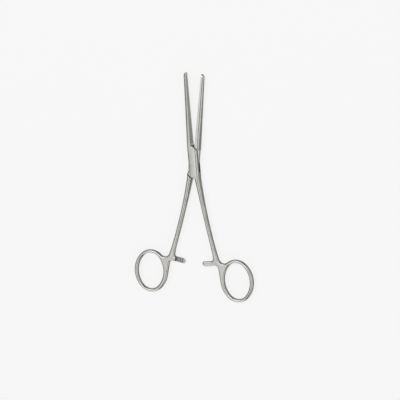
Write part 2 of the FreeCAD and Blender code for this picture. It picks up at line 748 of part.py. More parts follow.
def add_root_blocks(body: object) -> None:
    """Carry the jaw and the shank on at full thickness to beside the box's slanted edges."""
    jaw = Drawing(body, "JawBlockSection", "XZ_Plane", "-Sizes.box_inner_reach")
    jaw.half_round_section(
        "-Sizes.box_width / 2", "-Sizes.jaw_root_gap", "Sizes.box_thickness", "Sizes.box_edge_round"
    )
    shank = Drawing(body, "ShankBlockSection", "XZ_Plane", "Sizes.box_inner_reach")
    shank.rounded_section(
        "Sizes.shank_root_gap", "Sizes.box_width / 2", "Sizes.box_thickness", "Sizes.box_edge_round"
    )
    length = "Sizes.box_inner_reach - Sizes.box_outer_reach + Sizes.root_block_lap"
    for name, drawing in (("JawBlock", jaw), ("ShankBlock", shank)):
        block = add_feature(body, "Pad", name, drawing, Length=length)
        block.Reversed = drawing is shank
        doc.recompute()


def add_tongue(body: object) -> None:
    """Make the thin tongue that joins jaw and shank through the box's slot."""
    thickness = "Sizes.slot_thickness - 2 * Sizes.tongue_face_gap"
    side = "(Sizes.box_width / 2)"
    rise = f"sqrt(Sizes.waist_radius ^ 2 - {side} ^ 2)"
    drawing = Drawing(body, "TongueOutline", "XY_Plane")
    drawing.waist(side, rise, "Sizes.waist_radius")
    pad_both_ways(body, "Tongue", drawing, thickness)


def cut_shoulders(body: object) -> None:
    """Cut both faces down to the tongue between the two slanted shoulders."""
    face = "(Sizes.slot_thickness / 2 - Sizes.tongue_face_gap)"
    for name, side in (("FrontShoulders", 1), ("BackShoulders", -1)):
        drawing = Drawing(body, f"{name}Outline", "XY_Plane", f"{side} * {face}")
        drawing.polygon(box_edge_corners("Sizes.shoulder_gap"))
        cut = add_feature(body, "Pocket", name, drawing, Length="Sizes.box_thickness")
        cut.Reversed = side > 0
        doc.recompute()


def make_half(name: str, label: str) -> object:
    """Start a half with what both halves share below the box: ring, yoke and shank."""
    body = doc.addObject("PartDesign::Body", name)
    body.Label = label
    add_head(body)
    cut_ratchet(body)
    add_shank(body)
    return body


def make_box_half() -> object:
    """Make the half whose box holds the pin."""
    body = make_half("BoxHalf", "box_half")
    add_box(body)
    add_slot(body)
    add_jaw(body)
    add_pin_hole(body, "Sizes.pin_diameter")
    add_serrations(body)
    return body


def make_tongue_half() -> object:
    """Make the half whose tongue turns on the pin inside the box."""
    body = make_half("TongueHalf", "tongue_half")
    add_root_blocks(body)
    add_jaw(body)
    cut_shoulders(body)
    add_tongue(body)
    add_pin_hole(body, "Sizes.pin_diameter + 2 * Sizes.pin_running_gap")
    add_serrations(body)
    return body


def make_pin() -> object:
    """Make the pivot pin, a plain rod a hair shorter than the box is thick."""
    body = doc.addObject("PartDesign::Body", "PivotPin")
    body.Label = "pivot_pin"
    drawing = Drawing(body, "PinOutline", "XY_Plane")
    drawing.circle("Sizes.pin_diameter / 2")
    pad_both_ways(body, "Pin", drawing, "Sizes.box_thickness - 2 * Sizes.pin_recess")
    return body


def put_in_place(body: object, turn: Rotation) -> None:
    """Turn a finished piece about the pivot and lift its middle plane off the surface."""
    body.Placement = Placement(Vector(0, 0, 0), turn)
    body.setExpression("Placement.Base.z", "Sizes.box_thickness / 2")
    doc.recompute()


def check_document() -> None:
    """Stop if any object failed or any piece isn't one sound solid."""
    for item in doc.Objects:
        if {"Invalid", "Error"} & set(item.State):
            raise RuntimeError(f"{item.Name} failed: {item.State}")
    for piece in PIECES:
        shape = piece.Shape
        if shape.isNull() or not shape.isValid() or len(shape.Solids) != 1:
            raise RuntimeError(f"{piece.Label} isn't one valid solid")


half_angle = float(sheet.open_half_angle)
up = Vector(0, 0, 1)
turned_over = Rotation(Vector(0, 1, 0), 180)

box_half = make_box_half()
put_in_place(box_half, Rotation(up, half_angle))
tongue_half = make_tongue_half()
put_in_place(tongue_half, Rotation(up, -half_angle) * turned_over)
pivot_pin = make_pin()
put_in_place(pivot_pin, Rotation())

PIECES = [box_half, tongue_half, pivot_pin]
check_document()
os.makedirs("parts", exist_ok=True)
for piece in PIECES:
    piece.Shape.exportStep(f"parts/{piece.Label}.step")
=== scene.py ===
"""Looks of the box-lock dressing forceps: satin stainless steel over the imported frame.

Each half is drawn closed, in millimetres, with the pivot at the origin, its jaw
at x < 0 and its shank at x > 0, and is then turned to its place in the frame.
"""

import cmath
import itertools
import logging
import math
from dataclasses import dataclass
from enum import Enum
from typing import Any, Iterable

import bmesh
import bpy
import numpy as np
from mathutils import Matrix, Vector


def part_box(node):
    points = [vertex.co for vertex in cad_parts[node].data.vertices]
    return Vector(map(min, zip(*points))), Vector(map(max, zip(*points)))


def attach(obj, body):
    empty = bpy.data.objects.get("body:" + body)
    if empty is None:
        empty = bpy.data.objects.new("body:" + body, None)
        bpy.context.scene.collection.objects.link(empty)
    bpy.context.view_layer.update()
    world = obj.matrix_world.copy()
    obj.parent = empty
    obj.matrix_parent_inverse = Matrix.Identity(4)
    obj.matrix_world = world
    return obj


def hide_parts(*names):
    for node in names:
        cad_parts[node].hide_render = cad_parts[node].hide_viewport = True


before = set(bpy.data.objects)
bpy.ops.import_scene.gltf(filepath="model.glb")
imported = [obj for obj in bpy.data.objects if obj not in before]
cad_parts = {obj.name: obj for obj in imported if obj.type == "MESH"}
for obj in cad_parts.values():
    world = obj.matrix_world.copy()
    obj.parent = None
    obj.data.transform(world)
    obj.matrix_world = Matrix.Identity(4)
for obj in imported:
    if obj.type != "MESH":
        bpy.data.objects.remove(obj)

MM = 0.001
# The height of the mid plane of the forceps over the floor, and each half's turn from closed
MIDDLE_HEIGHT = 3.4
OPEN_HALF_ANGLE = math.radians(5.3)
# Points of an outline closer than this are one, and so are points of the lock's mesh
SAME_POINT = 1e-6
SAME_CORNER = 0.0005
# How many places are measured against an outline at a time
BATCH = 4000
log = logging.getLogger("forceps")


def linear(hex_colour: str) -> tuple[float, float, float, float]:
    """Turn an sRGB hex colour into linear values.

    Args:
        hex_colour: six hex digits with a leading hash.

    Returns:
        The linear red, green and blue, with an alpha of 1.
    """
    channels = [int(hex_colour[place:place + 2], 16) / 255 for place in (1, 3, 5)]
    values = [c / 12.92 if c <= 0.04045 else ((c + 0.055) / 1.055) ** 2.4 for c in channels]
    return (*values, 1.0)


def add_node(
    tree: bpy.types.NodeTree, kind: str, inputs: dict[Any, Any] | None = None, **settings: Any
) -> bpy.types.Node:
    """Add a node with its settings, its input values and its incoming links.

    Args:
        tree: the node tree that gets the node.
        kind: the node's type name.
        inputs: values or output sockets, by the input's name or number.
        settings: the node's own properties.

    Returns:
        The new node.
    """
    node = tree.nodes.new(kind)
    for name, value in settings.items():
        setattr(node, name, value)
    for name, value in (inputs or {}).items():
        if isinstance(value, bpy.types.NodeSocket):
            tree.links.new(value, node.inputs[name])
        else:
            node.inputs[name].default_value = value
    return node


@dataclass(frozen=True)
class SatinSteel:
    """Forged stainless steel, ground on its flats and satin polished along its length.

    The eye gets pale flats with a soft streaky sheen, and duller flanks whose colour
    is painted darker the more steeply they face sideways, as painted shade on the edges.
    """

    name: str = "satin_stainless_steel"
    flat_colour: str = "#dad9d5"
    flank_shade_colour: str = "#787772"
    # How nearly a face lies flat where the painted flank shade is full, and where it has gone and the
    # flat colour begins
    flank_level: float = 0.3
    flat_level: float = 0.97
    roughness: float = 0.22
    flank_roughness: float = 0.3
    # Polishing lines are about 0.02 mm apart; these are drawn coarser, to show
    grain_width_mm: float = 0.3
    grain_stretch: float = 0.05
    grain_gloss: float = 0.03
    cloud_width_mm: float = 7.0
    cloud_depth: float = 0.12
    noise_detail: float = 2.0
    noise_range: tuple[float, float] = (0.3, 0.7)
    bump_height_mm: float = 0.006
    bump_strength: float = 0.3

    def build(self) -> bpy.types.Material:
        """Make the material."""
        material = bpy.data.materials.new(self.name)
        material.use_nodes = True
        tree = material.node_tree
        tree.nodes.clear()
        place = add_node(tree, "ShaderNodeTexCoord")
        facing = add_node(tree, "ShaderNodeSeparateXYZ", {"Vector": place.outputs["Normal"]})
        upward = add_node(tree, "ShaderNodeMath", {0: facing.outputs["Z"]}, operation="ABSOLUTE")
        flatness = add_node(
            tree, "ShaderNodeMapRange",
            {"Value": upward.outputs[0], "From Min": self.flank_level, "From Max": self.flat_level},
            interpolation_type="SMOOTHSTEP",
        )
        clouds = add_node(
            tree, "ShaderNodeTexNoise",
            {"Vector": place.outputs["Object"], "Scale": 1 / (self.cloud_width_mm * MM),
             "Detail": self.noise_detail},
        )
        low, high = self.noise_range
        cloudiness = add_node(
            tree, "ShaderNodeMapRange",
            {"Value": clouds.outputs[0], "From Min": low, "From Max": high,
             "To Min": -self.cloud_depth, "To Max": self.cloud_depth},
        )
        share = add_node(
            tree, "ShaderNodeMath",
            {0: flatness.outputs[0], 1: cloudiness.outputs[0]},
            operation="ADD", use_clamp=True,
        )
        # Painted shade: the colour goes from the flat colour to the darker flank colour as faces turn
        # sideways, with random clouds on top
        shaded_tone = add_node(
            tree, "ShaderNodeMix",
            {"Factor": share.outputs[0], 6: linear(self.flank_shade_colour), 7: linear(self.flat_colour)},
            data_type="RGBA",
        )
        along = add_node(
            tree, "ShaderNodeMapping",
            {"Vector": place.outputs["Object"], "Scale": (1.0, self.grain_stretch, 1.0)},
        )
        grain = add_node(
            tree, "ShaderNodeTexNoise",
            {"Vector": along.outputs[0], "Scale": 1 / (self.grain_width_mm * MM),
             "Detail": self.noise_detail},
        )
        sheen = add_node(
            tree, "ShaderNodeMapRange",
            {"Value": share.outputs[0], "To Min": self.flank_roughness, "To Max": self.roughness},
        )
        streaks = add_node(
            tree, "ShaderNodeMapRange",
            {"Value": grain.outputs[0], "From Min": low, "From Max": high,
             "To Min": -self.grain_gloss, "To Max": self.grain_gloss},
        )
        gloss = add_node(
            tree, "ShaderNodeMath", {0: sheen.outputs[0], 1: streaks.outputs[0]}, operation="ADD"
        )
        bump = add_node(
            tree, "ShaderNodeBump",
            {"Height": grain.outputs[0], "Strength": self.bump_strength,
             "Distance": self.bump_height_mm * MM},
        )
        shader = add_node(
            tree, "ShaderNodeBsdfPrincipled",
            {"Base Color": shaded_tone.outputs[2], "Metallic": 1.0, "Roughness": gloss.outputs[0],
             "Normal": bump.outputs[0]},
        )
        add_node(tree, "ShaderNodeOutputMaterial", {"Surface": shader.outputs[0]})
        return material


# Steel as the serration cutter leaves it: duller and more even than the polished outside,
# and painted lighter on its flanks, as painted light that lifts the shade in the serration grooves,
# so that the gripping faces look like a mid grey strip
CUT_STEEL_PAINTED_LIGHT = SatinSteel(
    "cut_stainless_steel_painted_light", "#cfceca", "#adaca7", roughness=0.3, flank_roughness=0.4
)


@dataclass(frozen=True)
class PalePaper:
    """Matt white studio paper, with no texture that shows.

    It looks white to the camera and in the steel, and still takes a soft shadow.
    """

    name: str = "pale_paper"
    colour: str = "#f6f6f6"
    roughness: float = 0.9
    # The share of it, as the camera and the steel see it, that is plain white
    white_share: float = 0.8
    white_level: float = 1.0

    def build(self) -> bpy.types.Material:
        """Make the material."""
        material = bpy.data.materials.new(self.name)
        material.use_nodes = True
        tree = material.node_tree
        tree.nodes.clear()
        paper = add_node(
            tree, "ShaderNodeBsdfPrincipled",
            {"Base Color": linear(self.colour), "Roughness": self.roughness},
        )
        white = add_node(
            tree, "ShaderNodeEmission", {"Color": linear("#ffffff"), "Strength": self.white_level}
        )
        ray = add_node(tree, "ShaderNodeLightPath")
        mirrored = add_node(
            tree, "ShaderNodeMath",
            {0: ray.outputs["Is Glossy Ray"], 1: ray.outputs["Is Transmission Ray"]}, operation="MAXIMUM",
        )
        seen = add_node(
            tree, "ShaderNodeMath",
            {0: ray.outputs["Is Camera Ray"], 1: mirrored.outputs[0]}, operation="MAXIMUM",
        )
        share = add_node(
            tree, "ShaderNodeMath", {0: seen.outputs[0], 1: self.white_share}, operation="MULTIPLY"
        )
        both = add_node(
            tree, "ShaderNodeMixShader",
            {"Fac": share.outputs[0], 1: paper.outputs[0], 2: white.outputs[0]},
        )
        add_node(tree, "ShaderNodeOutputMaterial", {"Surface": both.outputs[0]})
        return material


class Side(Enum):
    """The two halves, named for what each has at the lock."""

    BOX = "box"
    TONGUE = "tongue"

    @property
    def node(self) -> str:
        """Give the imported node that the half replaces."""
        return f"{self.value}_half"

    @property
    def body(self) -> str:
        """Give the moving body that the half rides on."""
        return f"{self.value}_side"

    def placement(self) -> Matrix:
        """Give the matrix from the drawn half, in millimetres, to the frame, in metres."""
        turn = Matrix.Rotation(OPEN_HALF_ANGLE, 4, "Z")
        if self is Side.TONGUE:
            turn = Matrix.Rotation(-OPEN_HALF_ANGLE, 4, "Z") @ Matrix.Rotation(math.pi, 4, "Y")
        return Matrix.Scale(MM, 4) @ Matrix.Translation((0.0, 0.0, MIDDLE_HEIGHT)) @ turn


def towards(start: complex, target: complex, distance: float) -> complex:
    """Give the point at a distance from a start, on the way to a target."""
    return start + (target - start) / abs(target - start) * distance


def along_line(
    start: complex, direction: complex, centre: complex, distance: float, last: bool
) -> complex:
    """Give the point of a line that lies at a distance from a centre.

    Args:
        start: a point of the line.
        direction: the line's direction, one long.
        centre: the point that the distance is from.
        distance: how far from it.
        last: whether it is the last such point along the line, or the first.

    Returns:
        The point.
    """
    offset = start - centre
    middle = -(offset * direction.conjugate()).real
    spread = math.sqrt(middle ** 2 - abs(offset) ** 2 + distance ** 2)
    return start + direction * (middle + spread if last else middle - spread)


@dataclass
class Oval:
    """An oval of four arcs; points of the drawing plane are complex numbers."""

    centre: complex
    width: float
    length: float
    end_radius: float
    lean: float

    def arcs(self) -> tuple[float, complex, complex, complex, complex]:
        """Give the side arcs' radius and the centres of the right, top, left and bottom arcs."""
        half = self.width / 2
        rise = self.length / 2 - self.end_radius
        side = (half ** 2 + rise ** 2 - self.end_radius ** 2) / (2 * (half - self.end_radius))
        turn = cmath.exp(-1j * self.lean)
        places = [self.centre + step * turn for step in (half - side, 1j * rise, side - half, -1j * rise)]
        return side, *places


class Contour:
    """A closed outline, traced anticlockwise through points and arcs."""

    def __init__(self, step: float = math.radians(2.5)) -> None:
        self.step = step
        self.points: list[complex] = []

    def arc(self, centre: complex, start: complex, end: complex, hollow: bool = False) -> None:
        """Trace an arc, which bulges out of the outline, or into it where it is hollow."""
        turn = cmath.phase((end - centre) / (start - centre))
        if hollow and turn > 0:
            turn -= 2 * math.pi
        if not hollow and turn < 0:
            turn += 2 * math.pi
        count = max(2, math.ceil(abs(turn) / self.step))
        self.points += [
            centre + (start - centre) * cmath.exp(1j * turn * part / count) for part in range(count + 1)
        ]

    def oval(self, shape: Oval) -> None:
        """Trace an oval."""
        side, right, top, left, bottom = shape.arcs()
        pairs = ((right, bottom), (right, top), (left, top), (left, bottom))
        joints = [towards(*pair, side) for pair in pairs]
        for centre, start, end in zip((right, top, left, bottom), joints, joints[1:] + joints[:1]):
            self.arc(centre, start, end)

    def edges(self) -> np.ndarray:
        """Give each edge as its start and its step, four numbers a row."""
        start = np.array(self.points)
        start = start[np.abs(start - np.roll(start, 1)) > SAME_POINT]
        step = np.roll(start, -1) - start
        return np.stack([start.real, start.imag, step.real, step.imag], axis=1)


def depth_inside(places: np.ndarray, edges: np.ndarray) -> np.ndarray:
    """Give how deep each place lies inside the outlines, less than zero outside.

    Args:
        places: points of the drawing plane, two numbers a row.
        edges: the outlines' edges, four numbers a row.

    Returns:
        One distance for each place.
    """
    depths = np.empty(len(places))
    x, y, step_x, step_y = edges.T
    square = step_x ** 2 + step_y ** 2
    for first in range(0, len(places), BATCH):
        batch = slice(first, first + BATCH)
        off_x = places[batch, 0, None] - x
        off_y = places[batch, 1, None] - y
        share = np.clip((off_x * step_x + off_y * step_y) / square, 0.0, 1.0)
        nearest = np.hypot(off_x - share * step_x, off_y - share * step_y).min(axis=1)
        rising = (off_y >= 0) != (off_y >= step_y)
        crossing = rising & ((off_x * step_y - off_y * step_x) * np.sign(step_y) < 0)
        inside = crossing.sum(axis=1) % 2 == 1
        depths[batch] = np.where(inside, nearest, -nearest)
    return depths


def soft_max(first: np.ndarray, second: np.ndarray, width: float) -> np.ndarray:
    """Give the larger of two fields, with the change between them rounded over a width."""
    overlap = np.clip(0.5 + (first - second) / (2 * width), 0.0, 1.0)
    return second + (first - second) * overlap + width * overlap * (1 - overlap)


def skin_field(field: np.ndarray) -> tuple[np.ndarray, np.ndarray]:
    """Wrap a surface round the part of a grid where its field is less than zero.

    Args:
        field: the field's value at each node of a grid.

    Returns:
        The surface's points, in grid steps, and its four-sided faces.
    """
    inside = field < 0
    size = np.array(field.shape)
    corners = list(itertools.product((0, 1), repeat=3))
    count = sum(
        inside[a:size[0] - 1 + a, b:size[1] - 1 + b, c:size[2] - 1 + c].astype(np.int8)
        for a, b, c in corners
    )
    cells = np.argwhere((count > 0) & (count < 8))
    number = np.full(size - 1, -1)
    number[tuple(cells.T)] = np.arange(len(cells))
    total = np.zeros((len(cells), 3))
    hits = np.zeros(len(cells))
    for first, second in itertools.combinations(np.array(corners), 2):
        if np.abs(second - first).sum() != 1:
            continue
        start = field[tuple((cells + first).T)]
        end = field[tuple((cells + second).T)]
        crossed = (start < 0) != (end < 0)
        share = start[crossed] / (start[crossed] - end[crossed])
        total[crossed] += cells[crossed] + first + share[:, None] * (second - first)
        hits[crossed] += 1
    faces = []
    for axis in range(3):
        across, up = (axis + 1) % 3, (axis + 2) % 3
        low = inside.take(range(size[axis] - 1), axis)
        change = low != inside.take(range(1, size[axis]), axis)
        nodes = np.argwhere(change)
        nodes = nodes[(nodes[:, across] > 0) & (nodes[:, up] > 0)]
        nodes = nodes[(nodes[:, across] < size[across] - 1) & (nodes[:, up] < size[up] - 1)]
        quad = []
        for back_across, back_up in ((1, 1), (0, 1), (0, 0), (1, 0)):
            cell = nodes.copy()
            cell[:, across] -= back_across
            cell[:, up] -= back_up
            quad.append(number[tuple(cell.T)])
        quad = np.stack(quad, axis=1)
        outwards = low[tuple(nodes.T)]
        faces.append(np.where(outwards[:, None], quad, quad[:, ::-1]))
    return total / hits[:, None], np.concatenate(faces)


@dataclass
class Handle:
    """The shank, yoke, finger ring and ratchet arm of a half, as one softly blended skin."""

    # Half the thickness and the edge's radius at places along the handle
    PROFILE_REACH = (13.0, 14.4, 19.0, 24.0, 36.0, 48.0, 58.0, 70.0, 80.0, 88.0, 100.0)
    PROFILE_HALF = (3.38, 3.38, 3.16, 2.88, 2.42, 2.15, 2.1, 1.98, 1.9, 1.9, 1.9)
    PROFILE_ROUND = (2.2, 2.2, 2.15, 2.05, 1.9, 1.8, 1.75, 1.7, 1.65, 1.65, 1.7)

    root_reach: float = 14.3
    # The root starts this far inside the lock, and is this much slimmer there
    root_lap: float = 0.1
    root_lip: float = 0.02
    root_run: float = 2.6
    waist_reach: float = 58.0
    foot_reach: float = 80.0
    root_offset: float = 2.425
    waist_offset: float = 8.36
    foot_offset: float = 12.5
    root_width: float = 4.65
    waist_width: float = 3.8
    foot_width: float = 4.3
    ring_offset: float = 32.1
    ring_reach: float = 103.7
    ring_lean: float = math.radians(1.3)
    hole_width: float = 24.2
    hole_length: float = 31.6
    hole_end_radius: float = 10.0
    ring_end_radius: float = 14.0
    near_limb: float = 4.1
    far_limb: float = 3.58
    end_limb: float = 2.89
    yoke_reach: float = 85.0
    yoke_inner_offset: float = 10.6
    yoke_outer_offset: float = 16.0
    limb_lean: float = math.radians(5.0)
    outer_round: float = 5.0
    lower_round: float = 3.0
    upper_round: float = 1.8
    arm_reach: float = 89.1
    arm_height: float = 4.4
    arm_end: float = 0.12
    arm_root: float = 9.3
    arm_face: float = 0.12
    tooth_height: float = 0.75
    nose_length: float = 2.3
    nose_ramp: float = 1.3
    nose_wall: float = 0.2
    outline_stations: int = 47
    # The grid that the skin is wrapped on, and how its points are then moved onto the exact form
    grid_step: float = 0.3
    grid_low: tuple[float, float, float] = (-0.9, -122.4, -3.9)
    grid_high: tuple[float, float, float] = (51.3, -12.6, 3.9)
    corner_softness: float = 0.25
    fitting_rounds: int = 2
    slope_reach: float = 0.01
    least_slope: float = 0.25
    longest_step: float = 0.1

    def middle(self, reach: float) -> float:
        """Give how far the shank's middle line lies from the closing plane."""
        places = (self.root_reach, self.waist_reach, self.foot_reach)
        offsets = (self.root_offset, self.waist_offset, self.foot_offset)
        total = 0.0
        for place, offset in zip(places, offsets):
            others = [other for other in places if other != place]
            total += offset * math.prod((reach - other) / (place - other) for other in others)
        return total

    def width(self, reach: float) -> float:
        """Give the shank's width, slimmest at its waist."""
        root = reach < self.waist_reach
        end, full = (self.root_reach, self.root_width) if root else (self.foot_reach, self.foot_width)
        share = (reach - self.waist_reach) / (end - self.waist_reach)
        slim = self.waist_width + (full - self.waist_width) * share ** 2
        return slim - 2 * self.root_lip * (reach < self.root_reach + self.root_lap)

    def ring(self) -> Oval:
        """Give the finger ring's outer oval."""
        centre = complex(self.ring_offset + (self.far_limb - self.near_limb) / 2, -self.ring_reach)
        width = self.hole_width + self.near_limb + self.far_limb
        length = self.hole_length + 2 * self.end_limb
        return Oval(centre, width, length, self.ring_end_radius, self.ring_lean)

    def finger_hole(self) -> Oval:
        """Give the finger hole's oval."""
        centre = complex(self.ring_offset, -self.ring_reach)
        return Oval(centre, self.hole_width, self.hole_length, self.hole_end_radius, self.ring_lean)

    def outline(self) -> Contour:
        """Trace the outline from the root, down the inner side, round the arm and ring, and back."""
        start = self.root_reach - self.root_lap - self.root_run
        reaches = np.linspace(start, self.foot_reach, self.outline_stations)
        inner = [complex(self.middle(reach) - self.width(reach) / 2, -reach) for reach in reaches]
        outer = [complex(self.middle(reach) + self.width(reach) / 2, -reach) for reach in reaches]
        run = self.yoke_reach - self.foot_reach
        inner_way = complex(self.yoke_inner_offset - inner[-1].real, -run)
        outer_way = complex(self.yoke_outer_offset - outer[-1].real, -run)
        inner_way /= abs(inner_way)
        outer_way /= abs(outer_way)
        side, right, top, left, bottom = self.ring().arcs()
        upper_radius = self.arm_reach - self.arm_height / 2
        lower_radius = self.arm_reach + self.arm_height / 2

        upper = along_line(
            inner[-1] - 1j * inner_way * self.upper_round, inner_way,
            0j, upper_radius - self.upper_round, True,
        )
        tip_x = self.arm_end + self.arm_height / 2
        tip = complex(tip_x, -math.sqrt(self.arm_reach ** 2 - tip_x ** 2))
        limb_side = -cmath.exp(1j * self.limb_lean)
        limb_way = 1j * cmath.exp(1j * self.limb_lean)
        limb_start = left + limb_side * side
        lower = along_line(
            limb_start + limb_side * self.lower_round, limb_way,
            0j, lower_radius + self.lower_round, False,
        )
        outward = 1j * outer_way
        notch = along_line(
            outer[-1] + outward * self.outer_round, outer_way,
            top, self.ring_end_radius + self.outer_round, False,
        )

        contour = Contour()
        contour.points += inner
        upper_start = upper + 1j * inner_way * self.upper_round
        contour.arc(upper, upper_start, towards(0j, upper, upper_radius), True)
        contour.arc(0j, towards(0j, upper, upper_radius), towards(0j, tip, upper_radius), True)
        contour.arc(tip, towards(0j, tip, upper_radius), towards(0j, tip, lower_radius))
        contour.arc(0j, towards(0j, tip, lower_radius), towards(0j, lower, lower_radius))
        contour.arc(lower, towards(0j, lower, lower_radius), lower - limb_side * self.lower_round, True)
        contour.arc(left, limb_start, towards(left, bottom, side))
        contour.arc(bottom, towards(left, bottom, side), towards(right, bottom, side))
        contour.arc(right, towards(right, bottom, side), towards(right, top, side))
        contour.arc(top, towards(right, top, side), towards(top, notch, self.ring_end_radius))
        notch_start = towards(top, notch, self.ring_end_radius)
        contour.arc(notch, notch_start, notch - outward * self.outer_round, True)
        contour.points += outer[::-1]
        return contour

    def field(self, depth: np.ndarray, x: np.ndarray, y: np.ndarray, z: np.ndarray) -> np.ndarray:
        """Give how far places lie outside the handle, from their depth inside its outline."""
        reach = -y
        half = np.interp(reach, self.PROFILE_REACH, self.PROFILE_HALF)
        edge = np.interp(reach, self.PROFILE_REACH, self.PROFILE_ROUND)
        inwards = edge - depth
        upwards = np.abs(z) - (half - edge)
        bar = np.hypot(np.maximum(inwards, 0), np.maximum(upwards, 0))
        bar += np.minimum(np.maximum(inwards, upwards), 0) - edge
        trough = self.arm_face + self.tooth_height
        nose_end = self.arm_end + self.nose_length
        floor = np.interp(
            x, [self.arm_end, self.arm_end + self.nose_ramp, nose_end, nose_end + self.nose_wall],
            [trough, self.arm_face, self.arm_face, trough],
        )
        cut = np.minimum(np.minimum(self.arm_root - x, floor - z), reach - self.foot_reach)
        root_end = self.root_reach - self.root_lap - reach
        return np.maximum(soft_max(bar, cut, self.corner_softness), root_end)

    def build(self) -> bmesh.types.BMesh:
        """Make the skin, in millimetres."""
        hole = Contour()
        hole.oval(self.finger_hole())
        edges = np.concatenate([self.outline().edges(), hole.edges()])
        low = np.array(self.grid_low)
        x, y, z = [np.arange(start, end, self.grid_step) for start, end in zip(low, self.grid_high)]
        flat = np.stack(np.meshgrid(x, y, indexing="ij"), axis=-1).reshape(-1, 2)
        depth = depth_inside(flat, edges).reshape(len(x), len(y), 1)
        field = self.field(depth, x[:, None, None], y[None, :, None], z[None, None, :])
        points, faces = skin_field(field)
        points = low + points * self.grid_step
        for _ in range(self.fitting_rounds):
            points -= self.miss(points, edges)
        return solid_of(points.tolist(), faces.tolist())

    def miss(self, points: np.ndarray, edges: np.ndarray) -> np.ndarray:
        """Give the step by which each point misses the handle's exact surface."""
        tiny = self.slope_reach

        def value(x: np.ndarray, y: np.ndarray, z: np.ndarray) -> np.ndarray:
            """Give the field at places."""
            return self.field(depth_inside(np.stack([x, y], axis=1), edges), x, y, z)

        x, y, z = points.T
        here = value(x, y, z)
        slope = np.stack([value(x + tiny, y, z), value(x, y + tiny, z), value(x, y, z + tiny)], axis=1)
        slope = (slope - here[:, None]) / tiny
        steep = np.maximum((slope ** 2).sum(axis=1), self.least_slope)
        step = np.clip(here / steep, -self.longest_step, self.longest_step)
        return step[:, None] * slope


def solid_of(points: Iterable[Any], faces: Iterable[Any]) -> bmesh.types.BMesh:
    """Make a mesh of points and faces."""
    shell = bmesh.new()
    corners = [shell.verts.new(point) for point in points]
    for face in faces:
        shell.faces.new([corners[index] for index in face])
    return shell


